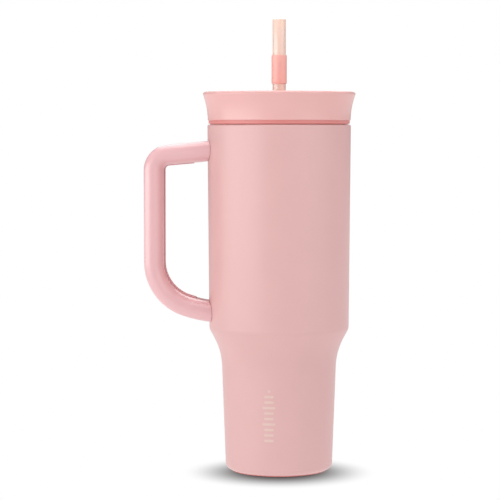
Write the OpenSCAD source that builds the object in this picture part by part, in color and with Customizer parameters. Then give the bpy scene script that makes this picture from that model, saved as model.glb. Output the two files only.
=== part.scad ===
// Insulated tumbler with a push-in lid, a side handle and a two-piece drinking straw.
// Vacuum cup of two steel walls, coated outside. All sizes are in millimetres.
// Frame: +Z up, origin at the centre of the base pad's resting face, handle towards -X.

/* [Cup] */
// Height of the cup from the table to its lip
cup_h = 248.6; // [205:0.1:305]
// Outside radius of the cup at its lip
body_r = 51.4; // [50:0.1:62]
// Inward lean of the upper wall, in degrees
body_draft = 0.47; // [0:0.01:1.5]
// Outside radius of the lower part where it meets the foot
base_r = 38.3; // [32:0.1:42]
// Outward lean of the lower wall, in degrees
base_draft = 2.1; // [0:0.1:3]
// Height of the shoulder's upper edge
shoulder_z = 102.3; // [85:0.1:125]
// Slope of the shoulder from the vertical, in degrees
shoulder_slope = 28.3; // [20:0.1:45]
// Radius of the hollow curve under the shoulder
neck_round = 46; // [5:1:60]
// Radius of the shoulder's upper edge
shoulder_round = 8; // [3:0.5:12]
// Radius of the bottom corner
base_round = 4.5; // [2:0.1:6]
// Radius of the lip's outer edge
lip_round = 1.1; // [0.7:0.1:1.6]
// Thickness of the outer steel wall
shell_wall = 0.5; // [0.4:0.05:1]
// Vacuum space between the walls
vacuum_gap = 3.5; // [2.4:0.1:5]
// Thickness of the inner steel wall
liner_wall = 0.4; // [0.3:0.05:0.8]
// Thickness of the copper wrap on the inner wall
wrap_t = 0.1; // [0.05:0.01:0.3]

/* [Base] */
// Height of the steel foot above the table
foot_lift = 0.6; // [0.3:0.1:1.5]
// Width of the flat foot between the bottom corner and the opening for the base disc
foot_flat = 2.8; // [2:0.1:4]
// Depth of the recess under the base disc
base_recess = 2.4; // [1.5:0.1:4]
// Thickness of the base disc
base_wall = 0.8; // [0.5:0.1:1.2]
// How far the silicone pad's edge stands in from the cup's side
pad_inset = 3.9; // [3.5:0.1:5]
// Space between the base disc and the inner wall's floor
floor_gap = 5.4; // [4.5:0.1:8]

/* [Handle] */
// Room for fingers between the cup and the handle
finger_room = 30.9; // [24:0.1:40]
// Thickness of the handle from its inner to its outer face
handle_t = 14.4; // [12:0.1:18]
// Width of the handle at its outer face
handle_outer_w = 32.4; // [27:0.1:38]
// Width of the handle at its inner face
handle_inner_w = 26.6; // [22:0.1:31]
// Upward lean of the upper arm towards the cup, in degrees
upper_lean = 5; // [0:0.1:10]
// Inner radius of the upper bend
upper_bend_r = 3.8; // [3:0.1:12]
// Inner radius of the lower bend
lower_bend_r = 26.1; // [15:0.1:32]
// Turn of the lower bend, in degrees
lower_bend_turn = 72; // [60:0.5:78]
// Inner radius of the lower arm's slow curve to the cup
lower_arm_r = 89; // [60:1:140]
// Distance of the upper arm's inner face below the lip
upper_arm_drop = 26.2; // [22:0.1:35]
// Height of the lower arm's inner face above the shoulder
lower_arm_rise = 20; // [18:0.1:30]
// Height of the soft grip strip above the handle's inner face
strip_proud = 0.5; // [0.2:0.1:1]
// Radius of the thread in a bracket
thread_r = 1.5; // [1.2:0.1:2]

/* [Lid] */
// Height of the lid's rim above the cup's lip
rim_h = 23.4; // [18:0.1:30]
// Radius of the lid's outward flare
flare_r = 55; // [40:1:80]
// Thickness of the lid's rim
rim_wall = 3; // [2.4:0.1:3.6]
// Height of the seam between the lip and the lid
seam_h = 3.1; // [2.6:0.1:4]
// Depth of the lid's plug in the cup
plug_depth = 15; // [12:0.1:20]
// Thickness of the plug's skirt
skirt_wall = 2; // [1.6:0.1:2.6]
// Thickness of the lid's deck
deck_t = 2.6; // [2.2:0.1:3.2]
// Clearance between the plug's skirt and the cup
skirt_clear = 1.2; // [0.9:0.1:1.6]

/* [Sip opening and shutter] */
// Inner radius of the sip opening
sip_in_r = 32; // [30:0.1:34]
// Radial width of the sip opening
sip_w = 7; // [5:0.1:8]
// Angle that the sip opening spans, in degrees
sip_span = 34; // [25:1:38]
// Turn of the shutter from closed to open, in degrees
shutter_turn = 60; // [50:1:70]
// Thickness of the shutter
shutter_t = 3; // [2.4:0.1:3.6]

/* [Straw] */
// Outside radius of the straw
straw_r = 4.7; // [3.8:0.05:5.7]
// Thickness of the straw's wall
straw_wall = 0.9; // [0.6:0.05:1.2]
// Height of the straw's mouth above the cup's lip
straw_rise = 75.2; // [65:0.1:91]
// Height of the collar's lower end above the cup's lip
collar_rise = 29.3; // [28:0.1:36]
// Length of the silicone collar
collar_len = 20.4; // [16:0.1:25]
// Thickness of the collar's wall
collar_wall = 0.75; // [0.5:0.05:1]

/* [Hidden] */
$fn = 96;
far = 400;            // longer than any part of the object
over = 1;             // how far a cutting shape runs past what it cuts
arc_step = 5;         // degrees in one facet of an outline's arc
side_share = 0.7;     // most of a side of the cup's outline that a rounding may take

// Colours
coat_pink = [0.88, 0.70, 0.69];
lid_pink = [0.93, 0.73, 0.72];
coral = [0.90, 0.55, 0.52];
peach = [0.95, 0.82, 0.75];
steel = [0.78, 0.78, 0.80];
copper = [0.80, 0.50, 0.35];

// Cup
liner_inset = shell_wall + vacuum_gap;          // from the cup's outside to the liner's outside
cavity_inset = liner_inset + liner_wall;        // from the cup's outside to the drink
foot_z = foot_lift;
shoulder_r = body_r - (cup_h - shoulder_z) * tan(body_draft);
// The lower wall and the shoulder's slope meet at the neck
neck_z = (shoulder_z * tan(shoulder_slope) - shoulder_r + base_r)
    / (tan(shoulder_slope) - tan(base_draft));
neck_r = base_r + neck_z * tan(base_draft);
disc_z = foot_z + base_recess;                  // underside of the base disc
floor_z = disc_z + base_wall + floor_gap;       // underside of the liner's floor
floor_corner_r = 9;                             // radius of the liner's bottom corner
floor_pan_h = 14;                               // height of the liner's floor, up to its weld
liner_weld_z = floor_z + floor_pan_h;           // seam between the liner's tube and floor
wrap_low_gap = 3;                               // bare steel between the weld and the wrap
wrap_high_gap = 22;                             // bare steel between the wrap and the lip
wrap_bottom_z = liner_weld_z + wrap_low_gap;
wrap_top_z = cup_h - wrap_high_gap;
function body_r_at(z) = body_r - (cup_h - z) * tan(body_draft);
function cavity_r_at(z) = body_r_at(z) - cavity_inset;

// Base
foot_opening_r = base_r - base_round - foot_flat;
pad_r = base_r - pad_inset;
port_r = 1;                                     // hole that the air is drawn out through
dimple_r = 5;
dimple_h = 1;
bead_r = 3.2;
bead_h = 0.7;
pad_fit = 0.2;                                  // pad to base disc's flange
pad_rim = 2.5;                                  // width of the pad's plug-in rim
getter_r = 4.5;
getter_h = 2.4;
getter_wall = 0.3;
getter_x = 16;

// Handle, drawn on +X and mirrored to -X
handle_in_x = body_r + finger_room;             // inner face of the straight grip
outer_corner_r = 4;
inner_corner_r = 8;
handle_seam = 0.25;                             // gap between the handle's ends and the cup
upper_bend_x = handle_in_x - upper_bend_r;
upper_bend_z = cup_h - upper_arm_drop - upper_bend_r * cos(upper_lean)
    - (upper_bend_x + upper_bend_r * sin(upper_lean) - body_r) * tan(upper_lean);
upper_arm_len = (upper_bend_x + upper_bend_r * sin(upper_lean) - body_r) / cos(upper_lean);
// The lower arm's curve is centred on a line through the lower bend's centre, and the bend ends on it
lower_bend_x = handle_in_x - lower_bend_r;
lower_arm_x = lower_bend_x - (lower_arm_r - lower_bend_r) * cos(lower_bend_turn);
lower_arm_end = acos((shoulder_r - lower_arm_x) / lower_arm_r);    // degrees below level, at the cup
lower_arm_z = shoulder_z + lower_arm_rise + lower_arm_r * sin(lower_arm_end);
lower_bend_z = lower_arm_z - (lower_arm_r - lower_bend_r) * sin(lower_bend_turn);
handle_reach = 9;                               // how far the arms run into the cup before they are cut
slim_step = 0.05;                               // step in size between the handle's stretches
bend_lap = 2;                                   // degrees that a bend reaches into the grip
arm_curve_lap = 0.3;                            // degrees that the lower arm reaches into its bend
profile_step = 15;                              // degrees in one facet of the profile's corners
strip_w = 13;                                   // visible width of the grip strip
strip_depth = 1.5;                              // depth of the strip's rebate
channel_w = 9;                                  // hollow channel behind the strip
channel_depth = 10.5;
rib_h = 2.5;                                    // rib that keys the strip into the channel
strip_fit = 0.1;
strip_end = 9.5;                                // distance of the strip's ends from the cup
channel_end = 17;

// Brackets, in an arm's own frame
saddle_t = 1.6;
saddle_w = 19;
saddle_h = 8.5;
saddle_room = 5;                                // depth of the arm's end that clears the saddle
tongue_w = 11;
tongue_t = 4.2;
tongue_len = 12;
bracket_fit = 0.25;
screw_inset = 5.2;                              // screw's axis from the cup's wall
screw_fit = 0.2;
head_r = 2.7;
head_h = 1.7;
head_play = 0.1;                                // head to cap
hex_r = 1.3;
hex_depth = 1.1;
thread_play = 0.05;                             // shank to the tongue's hole
screw_len = 6;
cap_r = 3.1;
cap_t = 1;
cap_fit = 0.05;

// Lid
flange_z = cup_h + seam_h;
lid_top_z = cup_h + rim_h;
deck_z = flange_z + deck_t;
plug_z = cup_h - plug_depth;
lid_step = 0.25;                                // lid's side in from the cup's side
lid_r = body_r - lid_step;                      // lid's outside just above the seam
flare_drop = 0.7;
flare_start_z = flange_z - flare_drop;          // height at which the flare is upright
rim_round = 2;
rim_in_round = 0.9;
bowl_round = 5;                                 // curve between the rim's inside and the deck
skirt_r = cavity_r_at(plug_z) - skirt_clear;
seal_step = 0.8;                                // rim seal's edge in from the cup's side
seal_r = body_r - seal_step;                    // visible edge of the rim seal
seal_rest = 0.15;                               // rim seal to lip
seal_fit = 0.1;                                 // rim seal to skirt
seal_foot_h = 0.6;
seal_foot_in = 1;                               // how far the foot stands back from the band
seal_edge = 0.2;
skirt_tip = 0.8;
groove_d = 1;                                   // depth of the plug seal's groove
groove_drop = 3.5;                              // top of the groove below the lip
groove_top_z = cup_h - groove_drop;
groove_h = 8;
fin_gap = 0.35;                                 // fin to the cup's inside
fin_t = 0.9;
fin_count = 3;

// Straw port and shutter
fit = 0.08;                                     // running clearance
grommet_wall = 2.4;
grommet_bore_r = straw_r + fit;
port_in_r = grommet_bore_r + grommet_wall;      // bore of the hub
hub_wall = 2;
hub_r = port_in_r + hub_wall;
hub_step = 0.4;
hub_drop = 9;
hub_z = flange_z - hub_drop;                    // lower end of the hub
grommet_lip = 1.2;
grommet_lip_t = 1.2;
shutter_lift = 0.3;                             // shutter's underside above the deck
retainer_t = 1.6;
retainer_play = 0.3;                            // retainer to the shutter's top
retainer_z = deck_z + shutter_lift + shutter_t + retainer_play;
hub_head = 0.5;                                 // the hub's edge above the retainer
hub_top_z = retainer_z + retainer_t + hub_head;
retainer_w = 3;
retainer_r = hub_r + retainer_w;
shutter_disc_w = 9;                             // shutter's disc, from the hub out
shutter_disc_r = hub_r + shutter_disc_w;
sip_out_r = sip_in_r + sip_w;
sip_mid_deg = 90;                               // the sip opening faces +Y
pad_margin = 1.2;                               // seal pad past the opening's edge
wing_margin = 1.4;                              // shutter's wing past the seal pad
wing_out_r = sip_out_r + pad_margin + wing_margin;
span_margin = 8;                                // degrees that each cover spans past the last
pad_span = sip_span + span_margin;
wing_span = pad_span + span_margin;
seal_pad_t = 1.3;
seal_pad_rest = 0.12;                           // seal pad to the deck
stop_gap = 0.6;                                 // degrees between the wing and a stop
stop_span = 4;                                  // degrees that a stop spans
stop_h = 2;
stop_lo = sip_mid_deg - wing_span / 2 - stop_gap - stop_span / 2;
stop_hi = sip_mid_deg + wing_span / 2 + shutter_turn + stop_gap + stop_span / 2;
retainer_clear = 0.5;
tab_w = 4.5;
tab_h = 8;
tab_in_step = 8;                                // tab's inner end in from the sip opening
tab_out_step = 1;
tab_in_r = sip_in_r - tab_in_step;
tab_out_r = sip_out_r - tab_out_step;
vent_r = 0.9;
rib_count = 8;
deck_rib_t = 1.4;
deck_rib_h = 5;

// Straw
straw_in_r = straw_r - straw_wall;
straw_foot_gap = 1.2;                           // straw's foot to the cup's floor
straw_foot_z = floor_z + liner_wall + straw_foot_gap;
straw_top_z = cup_h + straw_rise;
collar_z = cup_h + collar_rise;
collar_r = straw_r + collar_wall;
septum_h = 1.2;                                 // rib inside the collar that the tubes butt against
septum_z = collar_z + collar_len / 2 - septum_h / 2;
tube_round = 0.4;
collar_round = 0.36;
notch_w = 3;                                    // notches that keep the straw's foot open
notch_h = 4;

// ---- outline helpers ----

function unit(v) = v / norm(v);
function turn(a) = a > 180 ? a - 360 : a < -180 ? a + 360 : a;

// Points of the arc that rounds corner b between a and c. It takes at most a share of each side.
function corner(a, b, c, r, share = 0.48, step = arc_step) =
    let (
        u = unit(a - b),
        v = unit(c - b),
        half = acos(max(-1, min(1, u * v))) / 2
    )
    r <= 0 || half > 89.8 ? [b] :
    let (
        reach = min(r / tan(half), share * norm(a - b), share * norm(c - b)),
        rr = reach * tan(half),
        centre = b + unit(u + v) * rr / sin(half),
        from = b + u * reach - centre,
        to = b + v * reach - centre,
        a0 = atan2(from[1], from[0]),
        sweep = turn(atan2(to[1], to[0]) - a0),
        n = max(2, ceil(abs(sweep) / step))
    )
    [for (i = [0 : n]) centre + rr * [cos(a0 + sweep * i / n), sin(a0 + sweep * i / n)]];

// An outline through points, with corner i rounded by radii[i]. Its two ends stay sharp.
function rounded_path(points, radii, share = 0.48) = [
    for (i = [0 : len(points) - 1])
        each i == 0 || i == len(points) - 1
            ? [points[i]]
            : corner(points[i - 1], points[i], points[i + 1], radii[i], share)
];

// A closed outline, with every corner rounded
function rounded_loop(points, radii, step = arc_step) = let (n = len(points)) [
    for (i = [0 : n - 1])
        each corner(points[(i + n - 1) % n], points[i], points[(i + 1) % n], radii[i], 0.48, step)
];

function reverse(list) = [for (i = [len(list) - 1 : -1 : 0]) list[i]];

module ring(r_in, r_out, h) {
    difference() {
        cylinder(r = r_out, h = h);
        translate([0, 0, -over]) cylinder(r = r_in, h = h + 2 * over);
    }
}

// A wedge of a ring, centred on an angle
module ring_sector(r_in, r_out, h, mid, span) {
    rotate([0, 0, mid - span / 2])
        rotate_extrude(angle = span)
            translate([r_in, 0]) square([r_out - r_in, h]);
}

// ---- cup ----

// The cup's side from its foot to its lip, moved inwards by inset
function side_path(inset, bottom_z, top_z, bottom_round) = rounded_path(
    [
        [0, bottom_z],
        [base_r - inset, bottom_z],
        [neck_r - inset, neck_z],
        [shoulder_r - inset, shoulder_z],
        [body_r_at(top_z) - inset, top_z],
        [body_r_at(top_z) - inset, top_z + over]
    ],
    [0, bottom_round, neck_round + inset, max(shoulder_round - inset, 1), 0, 0],
    side_share
);

// Everything inside the cup's side, up to top_z
module side_solid(inset, bottom_z, top_z, bottom_round) {
    path = side_path(inset, bottom_z, top_z, bottom_round);
    rotate_extrude()
        polygon(concat([for (p = path) if (p[1] <= top_z) p], [[0, top_z]]));
}

module outer_shell() {
    liner_r = body_r - liner_inset;
    outside = rounded_path(
        [
            [foot_opening_r, foot_z],
            [base_r, foot_z],
            [neck_r, neck_z],
            [shoulder_r, shoulder_z],
            [body_r, cup_h],
            [liner_r, cup_h]
        ],
        [0, base_round, neck_round, shoulder_round, lip_round, 0],
        side_share
    );
    inside = rounded_path(
        [
            [foot_opening_r, foot_z + shell_wall],
            [base_r - shell_wall, foot_z + shell_wall],
            [neck_r - shell_wall, neck_z],
            [shoulder_r - shell_wall, shoulder_z],
            [body_r - shell_wall, cup_h - shell_wall],
            [liner_r, cup_h - shell_wall]
        ],
        [
            0, base_round - shell_wall, neck_round + shell_wall, shoulder_round - shell_wall,
            lip_round - shell_wall, 0
        ],
        side_share
    );
    color(coat_pink) rotate_extrude() polygon(concat(outside, reverse(inside)));
}

// The whole liner, a straight-sided steel beaker that is welded to the shell at the lip
module liner() {
    difference() {
        side_solid(liner_inset, floor_z, cup_h, floor_corner_r);
        side_solid(cavity_inset, floor_z + liner_wall, cup_h + over, floor_corner_r - liner_wall);
    }
}

module liner_tube() {
    color(steel)
        intersection() {
            liner();
            translate([0, 0, liner_weld_z]) cylinder(r = far, h = far);
        }
}

module liner_floor() {
    color(steel)
        intersection() {
            liner();
            cylinder(r = far, h = liner_weld_z);
        }
}

module copper_wrap() {
    color(copper)
        intersection() {
            difference() {
                side_solid(liner_inset - wrap_t, floor_z, cup_h, floor_corner_r);
                side_solid(liner_inset, floor_z, cup_h, floor_corner_r);
            }
            translate([0, 0, wrap_bottom_z]) cylinder(r = far, h = wrap_top_z - wrap_bottom_z);
        }
}

// The disc that closes the shell's foot, with a flange and a sunk seat for the vacuum seal
module base_disc() {
    color(steel)
        difference() {
            union() {
                rotate_extrude()
                    polygon([
                        [0, disc_z],
                        [foot_opening_r - base_wall, disc_z],
                        [foot_opening_r - base_wall, foot_z],
                        [foot_opening_r, foot_z],
                        [foot_opening_r, disc_z + base_wall],
                        [0, disc_z + base_wall]
                    ]);
                translate([0, 0, disc_z + base_wall])
                    cylinder(r1 = dimple_r + base_wall, r2 = dimple_r, h = dimple_h);
            }
            translate([0, 0, disc_z - over]) cylinder(r = dimple_r - base_wall, h = dimple_h + over);
            translate([0, 0, disc_z]) cylinder(r = port_r, h = far);
        }
}

module vacuum_seal() {
    color(copper)
        translate([0, 0, disc_z + dimple_h]) {
            translate([0, 0, -bead_h]) cylinder(r = bead_r, h = bead_h);
            cylinder(r = port_r, h = base_wall);
        }
}

module getter_holder() {
    color(steel)
        translate([getter_x, 0, disc_z + base_wall])
            difference() {
                cylinder(r = getter_r + getter_wall, h = getter_h + getter_wall);
                translate([0, 0, getter_wall]) cylinder(r = getter_r, h = getter_h + over);
            }
}

module getter_pellet() {
    color([0.35, 0.35, 0.38])
        translate([getter_x, 0, disc_z + base_wall + getter_wall])
            cylinder(r = getter_r, h = getter_h - getter_wall);
}

// Soft foot: a thin sole under the steel, with a rim that plugs into the base's recess
module base_pad() {
    rim_r = foot_opening_r - base_wall - pad_fit;
    color(coral)
        union() {
            cylinder(r = pad_r, h = foot_z);
            ring(rim_r - pad_rim, rim_r, disc_z);
        }
}

// ---- handle ----

module on_handle_side() {
    mirror([1, 0, 0]) children();
}

// The cup's straight upper wall as a solid, moved outwards by grow
module upper_wall(grow) {
    translate([0, 0, shoulder_z])
        cylinder(r1 = shoulder_r + grow, r2 = body_r + grow, h = cup_h - shoulder_z);
}

// Runs a flat profile along the handle. Its x is the distance from the handle's inner face,
// and end_gap is how far it stops before the cup. Each stretch reaches a little into the one
// before it and is slimmer by one step, which the profile reads as $slim.
module along_handle(end_gap) {
    upper_turn = 90 - upper_lean;
    lower_end = lower_arm_end - end_gap / lower_arm_r * 180 / PI;
    arm_lap = bend_lap * PI / 180 * upper_bend_r;
    translate([handle_in_x, 0, lower_bend_z])
        linear_extrude(upper_bend_z - lower_bend_z) let ($slim = 0) children();
    translate([upper_bend_x, 0, upper_bend_z]) {
        rotate([90, 0, 0])
            rotate_extrude(angle = upper_turn + bend_lap, start = -bend_lap)
                translate([upper_bend_r, 0]) let ($slim = slim_step) children();
        rotate([0, -upper_turn, 0])
            translate([upper_bend_r, 0, -arm_lap])
                linear_extrude(upper_arm_len + arm_lap - end_gap)
                    let ($slim = 2 * slim_step) children();
    }
    translate([lower_bend_x, 0, lower_bend_z])
        rotate([90, 0, 0])
            rotate_extrude(angle = lower_bend_turn + bend_lap, start = -lower_bend_turn)
                translate([lower_bend_r, 0]) let ($slim = slim_step) children();
    translate([lower_arm_x, 0, lower_arm_z])
        rotate([90, 0, 0])
            rotate_extrude(angle = lower_end - lower_bend_turn + arm_curve_lap, start = -lower_end)
                translate([lower_arm_r, 0]) let ($slim = 2 * slim_step) children();
}

// Frames at the two ends of the handle's inner face. +x crosses the arm, +z points into the cup.
module at_upper_end() {
    translate([upper_bend_x, 0, upper_bend_z])
        rotate([0, upper_lean - 90, 0]) translate([upper_bend_r, 0, upper_arm_len]) children();
}

module at_lower_end() {
    translate([lower_arm_x, 0, lower_arm_z])
        rotate([0, lower_arm_end, 0]) translate([lower_arm_r, 0, 0]) mirror([0, 0, 1]) children();
}

// Hollow of the arm around its bracket and its screw, in the frame of the arm's end
module arm_socket() {
    tongue_x = (handle_t - tongue_t) / 2 - bracket_fit;
    saddle_x = (handle_t - saddle_h) / 2 - bracket_fit;
    translate([tongue_x, -tongue_w / 2 - bracket_fit, -tongue_len - bracket_fit])
        cube([tongue_t + 2 * bracket_fit, tongue_w + 2 * bracket_fit, far]);
    translate([saddle_x, -saddle_w / 2 - bracket_fit, -saddle_room])
        cube([saddle_h + 2 * bracket_fit, saddle_w + 2 * bracket_fit, far]);
    translate([0, 0, -screw_inset])
        rotate([0, 90, 0]) {
            translate([0, 0, -over]) cylinder(r = cap_r, h = cap_t + over);
            cylinder(r = head_r + screw_fit, h = cap_t + head_h);
            cylinder(r = thread_r + screw_fit, h = tongue_x + over);
        }
}

// A plain slot, from one depth behind the handle's inner face to another
module slot_profile(low, high, w) {
    polygon([
        [low + $slim, $slim - w / 2],
        [high - $slim, $slim - w / 2],
        [high - $slim, w / 2 - $slim],
        [low + $slim, w / 2 - $slim]
    ]);
}

module handle_profile() {
    polygon(rounded_loop(
        [
            [$slim, $slim - handle_inner_w / 2],
            [handle_t - $slim, $slim - handle_outer_w / 2],
            [handle_t - $slim, handle_outer_w / 2 - $slim],
            [$slim, handle_inner_w / 2 - $slim]
        ],
        [inner_corner_r, outer_corner_r, outer_corner_r, inner_corner_r],
        profile_step
    ));
}

module handle_shell() {
    color(coat_pink)
        on_handle_side()
            difference() {
                along_handle(-handle_reach) handle_profile();
                along_handle(strip_end) slot_profile(-over, strip_depth, strip_w);
                along_handle(channel_end) slot_profile(-over, channel_depth, channel_w);
                at_upper_end() arm_socket();
                at_lower_end() arm_socket();
                upper_wall(handle_seam);
            }
}

module grip_strip() {
    color([0.86, 0.60, 0.61])
        on_handle_side() {
            along_handle(strip_end + strip_fit)
                slot_profile(-strip_proud, strip_depth, strip_w - 2 * strip_fit);
            along_handle(channel_end + strip_fit)
                slot_profile(0, strip_depth + rib_h, channel_w - 2 * strip_fit);
        }
}

// Tongue of a bracket, in the frame of the arm's end
module tongue() {
    difference() {
        translate([(handle_t - tongue_t) / 2, -tongue_w / 2, -tongue_len])
            cube([tongue_t, tongue_w, tongue_len + over]);
        translate([0, 0, -screw_inset]) rotate([0, 90, 0]) cylinder(r = thread_r, h = handle_t);
    }
}

module saddle_block() {
    translate([(handle_t - saddle_h) / 2, -saddle_w / 2, -saddle_room])
        cube([saddle_h, saddle_w, 2 * saddle_room]);
}

// A steel saddle that is welded to the cup, with a tongue that reaches into the arm
module upper_bracket() {
    color(steel)
        on_handle_side()
            difference() {
                union() {
                    intersection() {
                        at_upper_end() saddle_block();
                        upper_wall(saddle_t);
                    }
                    at_upper_end() tongue();
                }
                upper_wall(0);
            }
}

module lower_bracket() {
    color(steel)
        on_handle_side()
            difference() {
                union() {
                    intersection() {
                        at_lower_end() saddle_block();
                        upper_wall(saddle_t);
                    }
                    at_lower_end() tongue();
                }
                upper_wall(0);
            }
}

module screw() {
    translate([0, 0, -screw_inset])
        rotate([0, 90, 0])
            difference() {
                union() {
                    translate([0, 0, cap_t + head_play]) cylinder(r = head_r, h = head_h - head_play);
                    translate([0, 0, cap_t + head_h]) cylinder(r = thread_r - thread_play, h = screw_len);
                }
                cylinder(r = hex_r, h = cap_t + hex_depth, $fn = 6);
            }
}

module handle_screws() {
    color(steel)
        on_handle_side() {
            at_upper_end() screw();
            at_lower_end() screw();
        }
}

module screw_cap() {
    translate([0, 0, -screw_inset]) rotate([0, 90, 0]) cylinder(r = cap_r - cap_fit, h = cap_t);
}

module screw_caps() {
    color(coat_pink)
        on_handle_side() {
            at_upper_end() screw_cap();
            at_lower_end() screw_cap();
        }
}

// ---- lid ----

// Outside radius of the lid's flare at a height
function flare_r_at(z) = lid_r + flare_r - sqrt(pow(flare_r, 2) - pow(z - flare_start_z, 2));

module lid_body() {
    rib_in_r = hub_r - hub_wall / 2;
    rib_out_r = skirt_r - skirt_wall / 2;
    flare_steps = 12;
    top_r = flare_r_at(lid_top_z);
    flare = [for (i = [0 : flare_steps - 1])
        let (z = flange_z + (lid_top_z - flange_z) * i / flare_steps) [flare_r_at(z), z]];
    bowl = [for (i = [flare_steps - 1 : -1 : 1])
        let (z = deck_z + (lid_top_z - deck_z) * i / flare_steps) if (z > deck_z + bowl_round)
            [flare_r_at(z) - rim_wall, z]];
    last_flare = flare[flare_steps - 1];
    first_bowl = bowl[0];
    last_bowl = bowl[len(bowl) - 1];
    outline = concat(
        [[skirt_r, flange_z]],
        flare,
        corner(last_flare, [top_r, lid_top_z], [top_r - rim_wall, lid_top_z], rim_round),
        corner([top_r, lid_top_z], [top_r - rim_wall, lid_top_z], first_bowl, rim_in_round),
        bowl,
        corner(last_bowl, [flare_r_at(deck_z) - rim_wall, deck_z], [0, deck_z], bowl_round, 1),
        [
            [hub_r, deck_z],
            [hub_r, retainer_z],
            [hub_r - hub_step, retainer_z],
            [hub_r - hub_step, retainer_z + retainer_t],
            [hub_r, retainer_z + retainer_t],
            [hub_r - hub_step, hub_top_z],
            [port_in_r, hub_top_z],
            [port_in_r, hub_z],
            [hub_r, hub_z],
            [hub_r, flange_z],
            [skirt_r - skirt_wall, flange_z],
            [skirt_r - skirt_wall, plug_z],
            [skirt_r - skirt_tip, plug_z],
            [skirt_r, plug_z + skirt_tip],
            [skirt_r, groove_top_z - groove_h],
            [skirt_r - groove_d, groove_top_z - groove_h],
            [skirt_r - groove_d, groove_top_z],
            [skirt_r, groove_top_z]
        ]
    );
    color(lid_pink)
        difference() {
            union() {
                rotate_extrude() polygon(outline);
                for (i = [0 : rib_count - 1])
                    rotate([0, 0, (i + 0.5) * 360 / rib_count])
                        translate([rib_in_r, -deck_rib_t / 2, flange_z - deck_rib_h])
                            cube([rib_out_r - rib_in_r, deck_rib_t, deck_rib_h + over]);
                for (a = [stop_lo, stop_hi])
                    translate([0, 0, deck_z - over])
                        ring_sector(sip_in_r, wing_out_r, stop_h + over, a, stop_span);
            }
            translate([0, 0, flange_z - over])
                ring_sector(sip_in_r, sip_out_r, deck_t + 2 * over, sip_mid_deg, sip_span);
            rotate([0, 0, -sip_mid_deg])
                translate([sip_in_r, 0, flange_z - over]) cylinder(r = vent_r, h = deck_t + 2 * over);
        }
}

// The coral band between the cup's lip and the lid, with a narrower foot
module rim_seal() {
    bottom_z = cup_h + seal_rest;
    color(coral)
        rotate_extrude()
            polygon([
                [skirt_r + seal_fit, flange_z],
                [skirt_r + seal_fit, bottom_z + seal_foot_h],
                [body_r - liner_inset, bottom_z + seal_foot_h],
                [body_r - liner_inset, bottom_z],
                [seal_r - seal_foot_in, bottom_z],
                [seal_r - seal_foot_in, bottom_z + seal_foot_h],
                [seal_r - seal_edge, bottom_z + seal_foot_h],
                [seal_r, bottom_z + seal_foot_h + seal_edge],
                [seal_r, flange_z]
            ]);
}

// Ring in the skirt's groove, with fins that wipe the cup's inside
module plug_seal() {
    in_r = skirt_r - groove_d;
    low_z = groove_top_z - groove_h;
    pitch = (groove_h - fin_t) / (fin_count - 1);
    color(coral)
        union() {
            translate([0, 0, low_z]) ring(in_r, skirt_r, groove_h);
            for (i = [0 : fin_count - 1])
                translate([0, 0, low_z + i * pitch])
                    difference() {
                        cylinder(
                            r1 = cavity_r_at(low_z) - fin_gap,
                            r2 = cavity_r_at(low_z) - fin_gap - fin_t / 3,
                            h = fin_t
                        );
                        translate([0, 0, -over])
                            cylinder(r = skirt_r - groove_d / 2, h = fin_t + 2 * over);
                    }
        }
}

module straw_grommet() {
    color(coral)
        rotate_extrude()
            polygon([
                [grommet_bore_r, hub_z - grommet_lip_t],
                [port_in_r + grommet_lip, hub_z - grommet_lip_t],
                [port_in_r + grommet_lip, hub_z],
                [port_in_r, hub_z],
                [port_in_r, hub_top_z],
                [port_in_r + grommet_lip, hub_top_z],
                [port_in_r + grommet_lip, hub_top_z + grommet_lip_t / 2],
                [port_in_r + grommet_lip / 2, hub_top_z + grommet_lip_t],
                [grommet_bore_r, hub_top_z + grommet_lip_t]
            ]);
}

module shutter_retainer() {
    color(lid_pink)
        translate([0, 0, retainer_z]) ring(hub_r - hub_step, retainer_r, retainer_t);
}

// ---- shutter ----

module shutter() {
    base_z = deck_z + shutter_lift;
    color(lid_pink)
        difference() {
            union() {
                translate([0, 0, base_z]) cylinder(r = shutter_disc_r, h = shutter_t);
                translate([0, 0, base_z])
                    ring_sector(hub_r + hub_wall, wing_out_r, shutter_t, sip_mid_deg, wing_span);
                rotate([0, 0, sip_mid_deg])
                    translate([tab_in_r, -tab_w / 2, base_z])
                        cube([tab_out_r - tab_in_r, tab_w, shutter_t + tab_h]);
            }
            translate([0, 0, base_z - over]) cylinder(r = hub_r + fit, h = shutter_t + 2 * over);
            translate([0, 0, base_z + shutter_t]) cylinder(r = retainer_r + retainer_clear, h = far);
            translate([0, 0, base_z - over])
                ring_sector(
                    sip_in_r - pad_margin, sip_out_r + pad_margin, seal_pad_t + over, sip_mid_deg, pad_span
                );
        }
}

module shutter_seal() {
    color(coral)
        translate([0, 0, deck_z + seal_pad_rest])
            ring_sector(
                sip_in_r - pad_margin, sip_out_r + pad_margin,
                shutter_lift + seal_pad_t - seal_pad_rest, sip_mid_deg, pad_span
            );
}

// ---- straw ----

// A tube with rounded ends
module tube(r_in, r_out, z0, z1, round_low, round_high) {
    rotate_extrude()
        polygon(rounded_loop(
            [[r_in, z0], [r_out, z0], [r_out, z1], [r_in, z1]],
            [round_low, round_low, round_high, round_high]
        ));
}

module lower_straw() {
    color(peach)
        difference() {
            tube(straw_in_r, straw_r, straw_foot_z, septum_z, 0, 0);
            for (a = [0, 90])
                rotate([0, 0, a])
                    translate([-far / 2, -notch_w / 2, straw_foot_z - over])
                        cube([far, notch_w, notch_h + over]);
        }
}

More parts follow.
